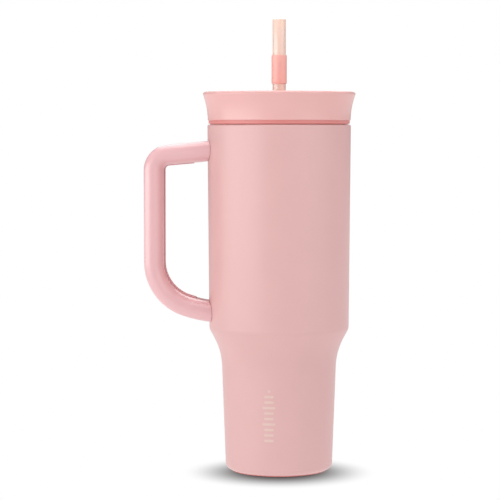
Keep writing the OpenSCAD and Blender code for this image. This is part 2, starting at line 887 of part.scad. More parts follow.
module straw_collar() {
    color(coral)
        union() {
            tube(straw_r, collar_r, collar_z, collar_z + collar_len, collar_round, collar_round);
            translate([0, 0, septum_z]) ring(straw_in_r, straw_r + collar_wall / 2, septum_h);
        }
}

module upper_straw() {
    color(peach) tube(straw_in_r, straw_r, septum_z + septum_h, straw_top_z, 0, tube_round);
}

outer_shell();
liner_tube();
liner_floor();
copper_wrap();
base_disc();
vacuum_seal();
getter_holder();
getter_pellet();
base_pad();
handle_shell();
grip_strip();
upper_bracket();
lower_bracket();
handle_screws();
screw_caps();
lid_body();
rim_seal();
plug_seal();
straw_grommet();
shutter_retainer();
shutter();
shutter_seal();
lower_straw();
straw_collar();
upper_straw();
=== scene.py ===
from math import acos, atan2, ceil, cos, degrees, pi, radians, sin, sqrt, tan

import bpy
from mathutils import Matrix, Vector


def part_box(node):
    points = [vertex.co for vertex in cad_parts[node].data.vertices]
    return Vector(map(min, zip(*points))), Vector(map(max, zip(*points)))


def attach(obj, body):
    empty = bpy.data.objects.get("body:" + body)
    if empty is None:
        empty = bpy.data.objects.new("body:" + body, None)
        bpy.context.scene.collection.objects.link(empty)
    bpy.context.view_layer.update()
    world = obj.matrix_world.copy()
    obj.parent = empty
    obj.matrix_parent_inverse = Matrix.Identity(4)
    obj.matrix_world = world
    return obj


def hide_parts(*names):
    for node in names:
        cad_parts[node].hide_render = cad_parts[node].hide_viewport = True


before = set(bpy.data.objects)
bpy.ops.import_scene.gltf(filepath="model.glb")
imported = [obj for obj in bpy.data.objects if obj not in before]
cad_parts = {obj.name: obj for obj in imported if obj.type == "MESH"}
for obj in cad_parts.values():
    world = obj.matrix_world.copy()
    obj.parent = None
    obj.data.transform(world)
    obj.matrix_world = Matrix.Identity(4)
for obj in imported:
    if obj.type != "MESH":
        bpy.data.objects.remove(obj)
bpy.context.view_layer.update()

mm = 0.001


# ---- The view: a pale floor, soft studio light and a long lens just below the lid ----

lens_place = Vector((-20.9, -1427, 243.4)) * mm
lens_dip = radians(3.4)
lens_length = 143.0

camera = bpy.data.objects.new("camera", bpy.data.cameras.new("camera"))
bpy.context.scene.collection.objects.link(camera)
camera.data.lens = lens_length
camera.data.sensor_width = 36
camera.data.clip_end = 50
camera.location = lens_place
camera.rotation_euler = (pi / 2 - lens_dip, 0, 0)
bpy.context.scene.camera = camera


def soft_light(name, place, aim, width, height, power):
    """A softbox at a place, turned towards the point that it lights."""
    lamp = bpy.data.objects.new(name, bpy.data.lights.new(name, "AREA"))
    bpy.context.scene.collection.objects.link(lamp)
    lamp.data.shape = "RECTANGLE"
    lamp.data.size = width
    lamp.data.size_y = height
    lamp.data.energy = power
    lamp.location = place
    lamp.rotation_euler = (Vector(aim) - Vector(place)).to_track_quat("-Z", "Y").to_euler()


middle = (0, 0, 0.15)
soft_light("key_light", (-1.22, -0.6, 0.15), middle, 1.8, 0.7, 11)
soft_light("fill_light", (1.3, -0.9, 0.4), middle, 1.4, 1.4, 5.5)
soft_light("top_light", (0.0, 0.0, 1.4), middle, 1.3, 1.3, 12)
soft_light("back_light", (0.1, 1.0, 1.25), middle, 1.4, 0.7, 9)

# The world lights the object less than it shows behind it, and least from behind, so that the
# edges stay dark
white = (1, 1, 1, 1)
sky_spread = {"From Min": -0.3, "From Max": 0.8, "To Min": 0.58, "To Max": 0.12}
world = bpy.data.worlds.new("studio")
bpy.context.scene.world = world
world.use_nodes = True
sky = world.node_tree.nodes
sky_links = world.node_tree.links
sky["Background"].inputs["Color"].default_value = white
sky_way = sky.new("ShaderNodeTexCoord")
sky_axes = sky.new("ShaderNodeSeparateXYZ")
sky_level = sky.new("ShaderNodeMapRange")
for socket, value in sky_spread.items():
    sky_level.inputs[socket].default_value = value
sky_links.new(sky_way.outputs["Generated"], sky_axes.inputs[0])
sky_links.new(sky_axes.outputs["Y"], sky_level.inputs["Value"])
sky_links.new(sky_level.outputs["Result"], sky["Background"].inputs["Strength"])
seen_sky = sky.new("ShaderNodeBackground")
seen_sky.inputs["Color"].default_value = white
seen_sky.inputs["Strength"].default_value = 1.0
sky_choice = sky.new("ShaderNodeMixShader")
sky_ray = sky.new("ShaderNodeLightPath")
sky_links.new(sky_ray.outputs["Is Camera Ray"], sky_choice.inputs["Fac"])
sky_links.new(sky["Background"].outputs[0], sky_choice.inputs[1])
sky_links.new(seen_sky.outputs[0], sky_choice.inputs[2])
sky_links.new(sky_choice.outputs[0], sky["World Output"].inputs["Surface"])
bpy.context.scene.view_settings.view_transform = "Standard"

# The floor carries a painted shadow: it is dark grey under the cup and fades into the white behind
# it. It lights the cup evenly
painted_shadow_place = (0, -14 * mm, 0)
painted_shadow_reach = {"From Min": 18 * mm, "From Max": 70 * mm}
painted_shadow_grey = 0.05
bpy.ops.object.select_all(action="DESELECT")
bpy.ops.mesh.primitive_plane_add(size=16, location=(0, 0, 0))
floor = bpy.context.object
floor.name = "floor"
paper = bpy.data.materials.new("floor_paper")
paper.use_nodes = True
paper_nodes = paper.node_tree.nodes
paper_links = paper.node_tree.links
# The painted shadow's dark grey, where the floor is not yet faded to white
paper_nodes["Principled BSDF"].inputs["Base Color"].default_value = (*[painted_shadow_grey] * 3, 1)
paper_nodes["Principled BSDF"].inputs["Roughness"].default_value = 0.9
paper_white = paper_nodes.new("ShaderNodeEmission")
paper_place = paper_nodes.new("ShaderNodeTexCoord")
painted_shadow_distance = paper_nodes.new("ShaderNodeVectorMath")
painted_shadow_distance.operation = "DISTANCE"
painted_shadow_distance.inputs[1].default_value = painted_shadow_place
# The painted shadow fades from dark grey to white with the distance from its centre
painted_shadow_fade = paper_nodes.new("ShaderNodeMapRange")
for socket, value in painted_shadow_reach.items():
    painted_shadow_fade.inputs[socket].default_value = value
painted_shadow_fade.interpolation_type = "SMOOTHSTEP"
paper_ray = paper_nodes.new("ShaderNodeLightPath")
paper_choice = paper_nodes.new("ShaderNodeMath")
paper_choice.operation = "SUBTRACT"
paper_choice.inputs[0].default_value = 1.0
paper_share = paper_nodes.new("ShaderNodeMath")
paper_share.operation = "MAXIMUM"
paper_mix = paper_nodes.new("ShaderNodeMixShader")
paper_links.new(paper_place.outputs["Object"], painted_shadow_distance.inputs[0])
paper_links.new(painted_shadow_distance.outputs["Value"], painted_shadow_fade.inputs["Value"])
paper_links.new(paper_ray.outputs["Is Camera Ray"], paper_choice.inputs[1])
paper_links.new(painted_shadow_fade.outputs["Result"], paper_share.inputs[0])
paper_links.new(paper_choice.outputs[0], paper_share.inputs[1])
paper_links.new(paper_share.outputs[0], paper_mix.inputs["Fac"])
paper_links.new(paper_nodes["Principled BSDF"].outputs[0], paper_mix.inputs[1])
paper_links.new(paper_white.outputs[0], paper_mix.inputs[2])
paper_links.new(paper_mix.outputs[0], paper_nodes["Material Output"].inputs["Surface"])
floor.data.materials.append(paper)


# ---- Outer wall of the cup ----
# A spun and hydroformed steel wall, 0.5 mm thick, with a narrow lower part that fits a cup
# holder. It is powder coated outside, and its lip turns in to meet the inner wall.

shell_low, shell_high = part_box("outer_shell")
lip_z = shell_high.z
foot_z = shell_low.z
cup_r = shell_high.x
foot_r = 38.3 * mm
shell_wall = 0.5 * mm
upper_draft = radians(0.47)
lower_draft = radians(2.1)
shoulder_z = 102.3 * mm
shoulder_slope = radians(28.3)
neck_round = 46 * mm
shoulder_round = 8 * mm
foot_round = 4.5 * mm
lip_round = 1.1 * mm
vacuum_gap = 3.5 * mm
foot_opening_r = 31 * mm
liner_r = cup_r - shell_wall - vacuum_gap
shoulder_r = cup_r - (lip_z - shoulder_z) * tan(upper_draft)
neck_z = ((shoulder_z * tan(shoulder_slope) - shoulder_r + foot_r)
          / (tan(shoulder_slope) - tan(lower_draft)))
neck_r = foot_r + neck_z * tan(lower_draft)


def rounded(points, radii, step=5.0, share=0.48):
    """An outline with its corners rounded. A radius of 0 keeps a corner, and so do the two ends."""
    made = [points[0]]
    for before, corner, after, radius in zip(points, points[1:], points[2:], radii[1:]):
        a, b, c = Vector(before), Vector(corner), Vector(after)
        u, v = (a - b).normalized(), (c - b).normalized()
        half = acos(max(-1, min(1, u.dot(v)))) / 2
        if radius <= 0 or half > radians(89.8):
            made.append(tuple(b))
            continue
        reach = min(radius / tan(half), share * (a - b).length, share * (c - b).length)
        true_radius = reach * tan(half)
        centre = b + (u + v).normalized() * true_radius / sin(half)
        first, last = b + u * reach - centre, b + v * reach - centre
        start = atan2(first.y, first.x)
        sweep = (atan2(last.y, last.x) - start + pi) % (2 * pi) - pi
        count = max(2, ceil(degrees(abs(sweep)) / step))
        for i in range(count + 1):
            turn = start + sweep * i / count
            made.append(tuple(centre + true_radius * Vector((cos(turn), sin(turn)))))
    made.append(points[-1])
    return made


def rounded_loop(points, radii, step=10.0, share=0.48):
    """A closed outline with its corners rounded, from the middle of its last side."""
    middle_point = tuple((Vector(points[0]) + Vector(points[-1])) / 2)
    return rounded([middle_point] + points + [middle_point], [0] + radii + [0], step, share)[:-1]


def drawn(name, points):
    """A line of joined points, drawn from one vertex by extruding it from point to point."""
    bpy.ops.object.select_all(action="DESELECT")
    bpy.ops.mesh.primitive_plane_add(size=mm, location=points[0])
    piece = bpy.context.object
    piece.name = name
    piece.data.name = name
    bpy.ops.object.transform_apply(location=True, rotation=True, scale=True)
    bpy.ops.object.mode_set(mode="EDIT")
    bpy.ops.mesh.select_mode(type="VERT")
    bpy.ops.mesh.select_all(action="SELECT")
    bpy.ops.mesh.merge(type="CENTER")
    for start, end in zip(points, points[1:]):
        bpy.ops.mesh.extrude_vertices_move(
            TRANSFORM_OT_translate={"value": Vector(end) - Vector(start)}
        )
    bpy.ops.mesh.select_all(action="SELECT")
    bpy.ops.mesh.remove_doubles(threshold=1e-7)
    return piece


def tidied(piece, crease=30):
    """Closes seams and poles, turns every face outwards and smooths all but the sharp edges."""
    bpy.context.view_layer.objects.active = piece
    bpy.ops.object.mode_set(mode="EDIT")
    bpy.ops.mesh.select_all(action="SELECT")
    bpy.ops.mesh.remove_doubles(threshold=3e-7)
    bpy.ops.mesh.dissolve_degenerate(threshold=1e-7)
    bpy.ops.mesh.select_all(action="SELECT")
    bpy.ops.mesh.normals_make_consistent(inside=False)
    bpy.ops.object.mode_set(mode="OBJECT")
    bpy.ops.object.select_all(action="DESELECT")
    piece.select_set(True)
    bpy.ops.object.shade_smooth_by_angle(angle=radians(crease))
    return piece


def turned(name, outline, steps=160, closed=True):
    """A round piece: its half section, as (radius, height) points, is drawn and spun round.
    A section whose two ends lie on the axis is left open there."""
    around = outline + [outline[0]] if closed else outline
    piece = drawn(name, [(r, 0, z) for r, z in around])
    bpy.ops.mesh.spin(steps=steps, angle=2 * pi, center=(0, 0, 0), axis=(0, 0, 1))
    return tidied(piece)


def card(red, green, blue):
    """A colour read from a paint card, 0 to 255, as the linear values that a shader takes."""
    return tuple((c / 255 / 12.92) if c < 11 else ((c / 255 + 0.055) / 1.055) ** 2.4
                 for c in (red, green, blue)) + (1.0,)


def finish(name, colour, roughness, **plain):
    """A new finish. What is the same all over is set on the shader's own sockets."""
    made = bpy.data.materials.new(name)
    made.use_nodes = True
    shader = made.node_tree.nodes["Principled BSDF"]
    shader.inputs["Base Color"].default_value = colour
    shader.inputs["Roughness"].default_value = roughness
    for socket, value in plain.items():
        shader.inputs[socket.replace("_", " ")].default_value = value
    return made


def new_group(name, inputs, outputs):
    """An effect that several finishes share, with its sockets, and its two end nodes."""
    group = bpy.data.node_groups.new(name, "ShaderNodeTree")
    kinds = {"Colour": "NodeSocketColor"}
    for socket, value in inputs.items():
        made = group.interface.new_socket(
            socket, in_out="INPUT", socket_type=kinds.get(socket, "NodeSocketFloat"))
        made.default_value = value
    for socket in outputs:
        group.interface.new_socket(
            socket, in_out="OUTPUT", socket_type=kinds.get(socket, "NodeSocketFloat"))
    return group, group.nodes.new("NodeGroupInput"), group.nodes.new("NodeGroupOutput")


def sums(tree, kind, *values):
    """A maths node. Each value is a number or another node's output."""
    node = tree.nodes.new("ShaderNodeMath")
    node.operation = kind
    for socket, value in zip(node.inputs, values):
        if isinstance(value, (int, float)):
            socket.default_value = value
        else:
            tree.links.new(value, socket)
    return node.outputs[0]


def shaded(tree, colour, factor):
    """A colour made lighter or darker by a factor."""
    node = tree.nodes.new("ShaderNodeVectorMath")
    node.operation = "SCALE"
    tree.links.new(colour, node.inputs[0])
    tree.links.new(factor, node.inputs["Scale"])
    return node.outputs[0]


def noise(group, where, scale, detail=2):
    """A noise's strength at a place. Its scale is a number or another node's output."""
    node = group.nodes.new("ShaderNodeTexNoise")
    node.inputs["Detail"].default_value = detail
    group.links.new(where, node.inputs["Vector"])
    if isinstance(scale, (int, float)):
        node.inputs["Scale"].default_value = scale
    else:
        group.links.new(scale, node.inputs["Scale"])
    return node.outputs["Fac"]


def ended(group, given, result, change, height):
    """Ends an effect: one change of shade and gloss, and the height that its bump takes."""
    shade = sums(group, "MULTIPLY_ADD", change, given.outputs["Shade Change"], 1.0)
    gloss = sums(group, "MULTIPLY_ADD", change, given.outputs["Gloss Change"],
                 given.outputs["Gloss"])
    group.links.new(shaded(group, given.outputs["Colour"], shade), result.inputs["Colour"])
    group.links.new(gloss, result.inputs["Roughness"])
    group.links.new(height, result.inputs["Height"])


# Skin of a coat or a moulding: a cloudy change of shade and gloss, under a fine grain
skin, given, result = new_group(
    "skin",
    {"Colour": (1, 1, 1, 1), "Shade Change": 0.05, "Cloud Scale": 60, "Grain Scale": 2500,
     "Grain Share": 0.4, "Gloss": 0.4, "Gloss Change": 0.05},
    ["Colour", "Roughness", "Height"],
)
place = skin.nodes.new("ShaderNodeTexCoord").outputs["Object"]
cloud = noise(skin, place, given.outputs["Cloud Scale"], detail=3)
grain = noise(skin, place, given.outputs["Grain Scale"])
grainy = sums(skin, "MULTIPLY", sums(skin, "SUBTRACT", grain, 0.5), given.outputs["Grain Share"])
change = sums(skin, "ADD", sums(skin, "SUBTRACT", cloud, 0.5), grainy)
ended(skin, given, result, change, grain)


def covered(material, effect, depth, **values):
    """Puts an effect on a finish. Its colour and gloss start from the finish's own sockets."""
    tree = material.node_tree
    shader = tree.nodes["Principled BSDF"]
    node = tree.nodes.new("ShaderNodeGroup")
    node.node_tree = effect
    node.inputs["Colour"].default_value = shader.inputs["Base Color"].default_value
    node.inputs["Gloss"].default_value = shader.inputs["Roughness"].default_value
    for socket, value in values.items():
        node.inputs[socket.replace("_", " ")].default_value = value
    bump = tree.nodes.new("ShaderNodeBump")
    bump.inputs["Distance"].default_value = depth
    tree.links.new(node.outputs["Colour"], shader.inputs["Base Color"])
    tree.links.new(node.outputs["Roughness"], shader.inputs["Roughness"])
    tree.links.new(node.outputs["Height"], bump.inputs["Height"])
    tree.links.new(bump.outputs["Normal"], shader.inputs["Normal"])
    return material


def fitted(piece, body, slot, material, *nodes):
    """Gives a piece its finish and its body. Its slot is not used. It stands for the CAD nodes
    named.
    """
    piece.data.materials.clear()
    piece.data.materials.append(material)
    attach(piece, body)
    if nodes:
        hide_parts(*nodes)
    return piece


def cup_side(inset):
    """The neck and the shoulder of the cup's side, moved in by inset, and their roundings."""
    corners = [(neck_r - inset, neck_z), (shoulder_r - inset, shoulder_z)]
    return corners, [neck_round + inset, max(shoulder_round - inset, mm)]


outer_corners, outer_rounds = cup_side(0)
inner_corners, inner_rounds = cup_side(shell_wall)
shell_outside = rounded(
    [(foot_opening_r, foot_z), (foot_r, foot_z)] + outer_corners
    + [(cup_r, lip_z), (liner_r, lip_z)],
    [0, foot_round] + outer_rounds + [lip_round, 0], step=4, share=0.7,
)
shell_inside = rounded(
    [(foot_opening_r, foot_z + shell_wall), (foot_r - shell_wall, foot_z + shell_wall)]
    + inner_corners + [(cup_r - shell_wall, lip_z - shell_wall), (liner_r, lip_z - shell_wall)],
    [0, foot_round - shell_wall] + inner_rounds + [lip_round - shell_wall, 0], step=4, share=0.7,
)
outer_wall = turned("outer_wall", shell_outside + shell_inside[::-1], steps=192)
powder_coat = covered(
    finish("powder_coat", card(219, 173, 171), 0.4, Specular_IOR_Level=0.6),
    skin, 0.025 * mm, Shade_Change=0.07, Cloud_Scale=45, Grain_Scale=1500, Grain_Share=1.1,
    Gloss_Change=0.15,
)
fitted(outer_wall, "cup", "cup_coat", powder_coat, "outer_shell")


# ---- Etched bars on the cup's front ----
# A column of plain rounded bars that a laser has etched into the coat, where it shows paler
# and finer in grain. They are thin skins that lie on the wall.

bar_x = -7.6 * mm
bar_low_z = 26.2 * mm
bar_pitch = 3.9 * mm
bar_lengths = (3.4, 3.4, 3.4, 4.6, 3.4, 3.4, 4.6, 3.4, 3.4, 1.0)
bar_half_width = 0.85 * mm
shortest_bar = 1.01 * bar_half_width
bar_strip = 0.8 * mm
bar_proud = 0.03 * mm
bar_thick = 0.12 * mm
bar_start = 2 * mm


def pick(piece, vertices=None, edges=None, faces=None):
    """Selects, in edit mode, the vertices, edges or faces whose middle passes a test."""
    bpy.context.view_layer.objects.active = piece
    bpy.ops.object.mode_set(mode="EDIT")
    kind = "VERT" if vertices else "EDGE" if edges else "FACE"
    bpy.ops.mesh.select_mode(type=kind)
    bpy.ops.mesh.select_all(action="DESELECT")
    bpy.ops.object.mode_set(mode="OBJECT")
    points = piece.data.vertices
    if vertices:
        for vertex in points:
            vertex.select = bool(vertices(vertex.co))
    if edges:
        for edge in piece.data.edges:
            edge.select = bool(edges(*(points[i].co for i in edge.vertices)))
    if faces:
        for face in piece.data.polygons:
            face.select = bool(faces(face.center, face.normal))
    bpy.ops.object.mode_set(mode="EDIT")


def joined(name, pieces):
    """Several objects made one, under a name."""
    bpy.ops.object.select_all(action="DESELECT")
    for piece in pieces:
        piece.select_set(True)
    bpy.context.view_layer.objects.active = pieces[0]
    bpy.ops.object.join()
    pieces[0].name = name
    pieces[0].data.name = name
    return pieces[0]


def applied(piece, kind, **settings):
    """Adds a modifier to a piece and applies it."""
    bpy.context.view_layer.objects.active = piece
    modifier = piece.modifiers.new(kind.lower(), kind)
    for setting, value in settings.items():
        setattr(modifier, setting, value)
    bpy.ops.object.modifier_apply(modifier=modifier.name)
    return piece


def flat_bar(middle_place, half_length, half_width, strip):
    """A flat bar with round ends that faces -Y, cut into upright strips that can bend."""
    bpy.ops.object.select_all(action="DESELECT")
    bpy.ops.mesh.primitive_circle_add(
        vertices=24, radius=half_width, fill_type="NGON",
        location=middle_place, rotation=(pi / 2, 0, 0))
    bar = bpy.context.object
    bpy.ops.object.transform_apply(location=True, rotation=True, scale=True)
    x = middle_place[0]
    stretch = half_length - half_width
    for side in (-1, 1):
        pick(bar, vertices=lambda at: (at.x - x) * side > 1e-6)
        bpy.ops.transform.translate(value=(side * stretch, 0, 0))
    cuts = int(half_length / strip)
    for i in range(-cuts, cuts + 1):
        bpy.ops.mesh.select_all(action="SELECT")
        bpy.ops.mesh.bisect(plane_co=(x + (i + 0.25) * strip, 0, 0), plane_no=(1, 0, 0))
    bpy.ops.object.mode_set(mode="OBJECT")
    return bar


def laid_on(piece, wall, proud, thick):
    """Lays a flat piece on a wall behind it and gives it a thickness that reaches into the wall."""
    applied(piece, "SHRINKWRAP", wrap_method="PROJECT", target=wall, use_project_y=True,
            use_positive_direction=True, use_negative_direction=False,
            wrap_mode="ABOVE_SURFACE", offset=proud)
    applied(piece, "SOLIDIFY", thickness=thick, offset=-1)
    return tidied(piece, crease=50)


bars = []
for i, half_length in enumerate(bar_lengths):
    bars.append(flat_bar((bar_x, -cup_r - bar_start, bar_low_z + i * bar_pitch),
                         max(half_length * mm, shortest_bar), bar_half_width, bar_strip))
etched_bars = laid_on(joined("etched_bars", bars), outer_wall, bar_proud, bar_thick)
etched_coat = covered(
    finish("etched_coat", card(222, 191, 183), 0.42, Specular_IOR_Level=0.4),
    skin, 0.01 * mm, Shade_Change=0.08, Cloud_Scale=300, Grain_Scale=4000, Gloss_Change=0.1,
)
fitted(etched_bars, "cup", "cup_coat", etched_coat)


# ---- Inner wall ----
# A drawn steel beaker, 0.4 mm thick, in two pieces: a tube and a floor pan that is welded to
# it. It hangs from the lip inside the vacuum, and is electropolished inside.

liner_wall = 0.4 * mm
liner_inset = shell_wall + vacuum_gap
cavity_inset = liner_inset + liner_wall
weld_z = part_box("liner_tube")[0].z
pan_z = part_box("liner_floor")[0].z
pan_corner = 9 * mm


def wall_r(inset, low_z, z):
    """Radius of the straight lower wall at a height, for a wall that starts at low_z."""
    return foot_r - inset + (neck_r - foot_r) * (z - low_z) / (neck_z - low_z)


# Polished or drawn metal: fine streaks round the axis, with a cloudy change of gloss
streaks, given, result = new_group(
    "streaks",
    {"Colour": (1, 1, 1, 1), "Shade Change": 0.1, "Fineness": 2200, "Stretch": 0.02,
     "Gloss": 0.3, "Gloss Change": 0.15},
    ["Colour", "Roughness", "Height"],
)
place = streaks.nodes.new("ShaderNodeTexCoord").outputs["Object"]
parts = streaks.nodes.new("ShaderNodeSeparateXYZ")
streaks.links.new(place, parts.inputs[0])
ringed = streaks.nodes.new("ShaderNodeCombineXYZ")
for axis in (0, 1):
    streaks.links.new(sums(streaks, "MULTIPLY", parts.outputs[axis], given.outputs["Stretch"]),
                      ringed.inputs[axis])
streaks.links.new(parts.outputs[2], ringed.inputs[2])
scratch = noise(streaks, ringed.outputs[0], given.outputs["Fineness"], detail=4)
clouded = sums(streaks, "SUBTRACT", noise(streaks, place, 35), 0.5)
change = sums(streaks, "MULTIPLY_ADD", clouded, 0.5, sums(streaks, "SUBTRACT", scratch, 0.5))
ended(streaks, given, result, change, scratch)

tube_corners, tube_rounds = cup_side(liner_inset)
bore_corners, bore_rounds = cup_side(cavity_inset)
tube_outside = rounded(
    [(wall_r(liner_inset, pan_z, weld_z), weld_z)] + tube_corners + [(liner_r, lip_z)],
    [0] + tube_rounds + [0], step=4, share=0.7)
tube_inside = rounded(
    [(wall_r(cavity_inset, pan_z + liner_wall, weld_z), weld_z)] + bore_corners
    + [(liner_r - liner_wall, lip_z)],
    [0] + bore_rounds + [0], step=4, share=0.7)
inner_tube = turned("inner_tube", tube_outside + tube_inside[::-1], steps=160)
floor_pan = turned(
    "floor_pan",
    rounded([(0, pan_z), (foot_r - liner_inset, pan_z), tube_outside[0]],
            [0, pan_corner, 0], share=0.9)
    + rounded([tube_inside[0], (foot_r - cavity_inset, pan_z + liner_wall),
               (0, pan_z + liner_wall)],
              [0, pan_corner - liner_wall, 0], share=0.9),
    steps=160, closed=False,
)
polished_steel = covered(
    finish("polished_steel", card(224, 224, 226), 0.34, Metallic=1.0),
    streaks, 0.004 * mm, Shade_Change=0.12, Gloss_Change=0.2,
)
fitted(inner_tube, "cup", "liner_steel", polished_steel, "liner_tube")
fitted(floor_pan, "cup", "liner_steel", polished_steel, "liner_floor")


# ---- Pieces in the vacuum ----
# A copper foil wrapped on the inner wall, and a getter pill in its steel dish on the base
# disc, which takes up the last gas. They are sealed in, and keep the shapes of the CAD nodes.

copper_foil = covered(
    finish("copper_foil", card(201, 132, 98), 0.32, Metallic=1.0),
    skin, 0.03 * mm, Shade_Change=0.25, Cloud_Scale=90, Grain_Scale=700, Gloss_Change=0.25,
)
getter_powder = covered(
    finish("getter_powder", card(84, 84, 88), 0.85),
    skin, 0.06 * mm, Shade_Change=0.4, Cloud_Scale=500, Grain_Scale=4500, Grain_Share=1.2,
)
dull_steel = covered(
    finish("dull_steel", card(176, 176, 180), 0.45, Metallic=1.0),
    streaks, 0.006 * mm, Shade_Change=0.2, Fineness=1500, Gloss_Change=0.25,
)


def carried(node, material):
    """Gives a CAD node that no piece stands for a finish of its own."""
    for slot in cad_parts[node].material_slots:
        slot.material = material


carried("copper_wrap", copper_foil)
carried("getter_pellet", getter_powder)
carried("getter_holder", dull_steel)


# ---- Base ----
# A pressed disc closes the foot, and a bead of solder glass closes the hole that the air was
# drawn out through. A silicone pad is stuck under them, and the cup stands on it.

solder_glass = covered(
    finish("solder_glass", card(74, 88, 78), 0.12, Coat_Weight=0.6),
    skin, 0.02 * mm, Shade_Change=0.3, Cloud_Scale=700, Grain_Scale=3000, Gloss_Change=0.1,
)
carried("base_disc", dull_steel)
carried("vacuum_seal", solder_glass)

pad_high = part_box("base_pad")[1]
pad_r = pad_high.x
sole = foot_z
rim_out_r = 30 * mm
rim_in_r = 27.5 * mm
tread_r = 24 * mm
tread_step = 0.25 * mm
tread_round = 0.25 * mm
seat_round = 0.2 * mm
rim_edge_round = 0.4 * mm
base_sole = turned(
    "base_sole",
    rounded(
        [(0, tread_step), (tread_r, tread_step), (tread_r, 0), (pad_r, 0), (pad_r, sole),
         (rim_out_r, sole), (rim_out_r, pad_high.z), (rim_in_r, pad_high.z), (rim_in_r, sole),
         (0, sole)],
        [0, 0, 0, tread_round, seat_round, 0, rim_edge_round, rim_edge_round, 0, 0],
    ),
    steps=160, closed=False,
)
coral_silicone = covered(
    finish("coral_silicone", card(219, 134, 130), 0.42, Subsurface_Weight=0.15,
           Subsurface_Radius=(1.0, 0.4, 0.3), Subsurface_Scale=0.002, Sheen_Weight=0.1),
    skin, 0.01 * mm, Shade_Change=0.07, Cloud_Scale=120, Grain_Scale=2600, Gloss_Change=0.14,
)
fitted(base_sole, "cup", "coral_silicone", coral_silicone, "base_pad")


# ---- Handle ----
# A hollow moulding in nearly the cup's colour, satin outside. Its grip is straight, its
# upper arm leans up to the cup, and its lower arm comes back in a long curve.

handle_thick = 14.4 * mm
handle_in_x = -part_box("handle_shell")[0].x - handle_thick
handle_outer_half = 16.6 * mm
handle_inner_half = 13.3 * mm
handle_outer_round = 5.5 * mm
handle_inner_round = 9.5 * mm
handle_seam = 0.25 * mm
upper_lean = radians(5)
upper_bend_r = 3.8 * mm
upper_drop = 26.2 * mm
lower_bend_r = 26.1 * mm
lower_bend_turn = radians(72)
lower_arm_r = 89 * mm
lower_rise = 20 * mm
past_wall = 9 * mm
bend_steps = 20
arm_steps = 12

upper_bend_x = handle_in_x - upper_bend_r
upper_corner = upper_bend_x + upper_bend_r * sin(upper_lean) - cup_r
upper_bend_z = (lip_z - upper_drop - upper_bend_r * cos(upper_lean)
                - upper_corner * tan(upper_lean))
upper_arm = upper_corner / cos(upper_lean)
lower_bend_x = handle_in_x - lower_bend_r
lower_arm_x = lower_bend_x - (lower_arm_r - lower_bend_r) * cos(lower_bend_turn)
lower_end = acos((shoulder_r - lower_arm_x) / lower_arm_r)
lower_arm_z = shoulder_z + lower_rise + lower_arm_r * sin(lower_end)
lower_bend_z = lower_arm_z - (lower_arm_r - lower_bend_r) * sin(lower_bend_turn)


def along_handle(name, section, end_gap):
    """A closed bar with a section of (depth behind the inner face, side) points, drawn on the
    grip and carried round both bends. It stops a gap before the cup, or past its wall.
    A spin turns left-handed round its axis."""
    grip_z = lower_bend_z
    ring_points = [(-handle_in_x - depth, side, grip_z) for depth, side in section]
    piece = drawn(name, ring_points + [ring_points[0]])
    bpy.ops.mesh.extrude_region_move(
        TRANSFORM_OT_translate={"value": (0, 0, upper_bend_z - grip_z)})
    bpy.ops.mesh.spin(steps=bend_steps, angle=pi / 2 - upper_lean, axis=(0, -1, 0),
                      center=(-upper_bend_x, 0, upper_bend_z))
    reach = upper_arm - end_gap
    bpy.ops.mesh.extrude_region_move(
        TRANSFORM_OT_translate={"value": (reach * cos(upper_lean), 0, reach * sin(upper_lean))})
    bpy.ops.mesh.edge_face_add()
    pick(piece, vertices=lambda at: abs(at.z - grip_z) < 1e-6)
    bpy.ops.mesh.spin(steps=bend_steps, angle=lower_bend_turn, axis=(0, 1, 0),
                      center=(-lower_bend_x, 0, lower_bend_z))
    bpy.ops.mesh.spin(steps=arm_steps, axis=(0, 1, 0), center=(-lower_arm_x, 0, lower_arm_z),
                      angle=lower_end - lower_bend_turn - end_gap / lower_arm_r)
    bpy.ops.mesh.edge_face_add()
    return tidied(piece)


def cut(piece, tool, operation="DIFFERENCE"):
    """Cuts a piece with a tool, or adds the tool to it. The tool is used up."""
    applied(piece, "BOOLEAN", solver="MANIFOLD", operation=operation, object=tool)
    bpy.data.objects.remove(tool)
    return piece


def arm_frame(origin, outward, inward):
    """A frame at an arm's end. Its +x goes from the inner face out and its +z into the cup."""
    side = inward.cross(outward)
    return Matrix.Translation(origin) @ Matrix((outward, side, inward)).transposed().to_4x4()


upper_frame = arm_frame(
    Vector((-upper_bend_x - upper_bend_r * sin(upper_lean) + upper_arm * cos(upper_lean), 0,
            upper_bend_z + upper_bend_r * cos(upper_lean) + upper_arm * sin(upper_lean))),
    Vector((-sin(upper_lean), 0, cos(upper_lean))),
    Vector((cos(upper_lean), 0, sin(upper_lean))),
)
lower_frame = arm_frame(
    Vector((-lower_arm_x - lower_arm_r * cos(lower_end), 0,
            lower_arm_z - lower_arm_r * sin(lower_end))),
    Vector((-cos(lower_end), 0, -sin(lower_end))),
    Vector((sin(lower_end), 0, -cos(lower_end))),
)


def placed_block(frame_of_arm, low, high):
    """A block between two corners of an arm's frame."""
    low, high = Vector(low), Vector(high)
    bpy.ops.object.select_all(action="DESELECT")
    bpy.ops.mesh.primitive_cube_add(size=1)
    block = bpy.context.object
    block.matrix_world = (frame_of_arm @ Matrix.Translation((low + high) / 2)
                          @ Matrix.Diagonal((*(high - low), 1)))
    bpy.ops.object.transform_apply(location=True, rotation=True, scale=True)
    return block


def placed_disc(frame_of_arm, radius, inset, low, high, vertices=48):
    """A cylinder across an arm, at an inset from the cup and between two depths."""
    bpy.ops.object.select_all(action="DESELECT")
    bpy.ops.mesh.primitive_cylinder_add(vertices=vertices, radius=radius, depth=high - low)
    disc = bpy.context.object
    disc.matrix_world = (frame_of_arm @ Matrix.Translation(((low + high) / 2, 0, -inset))
                         @ Matrix.Rotation(pi / 2, 4, "Y"))
    bpy.ops.object.transform_apply(location=True, rotation=True, scale=True)
    return disc


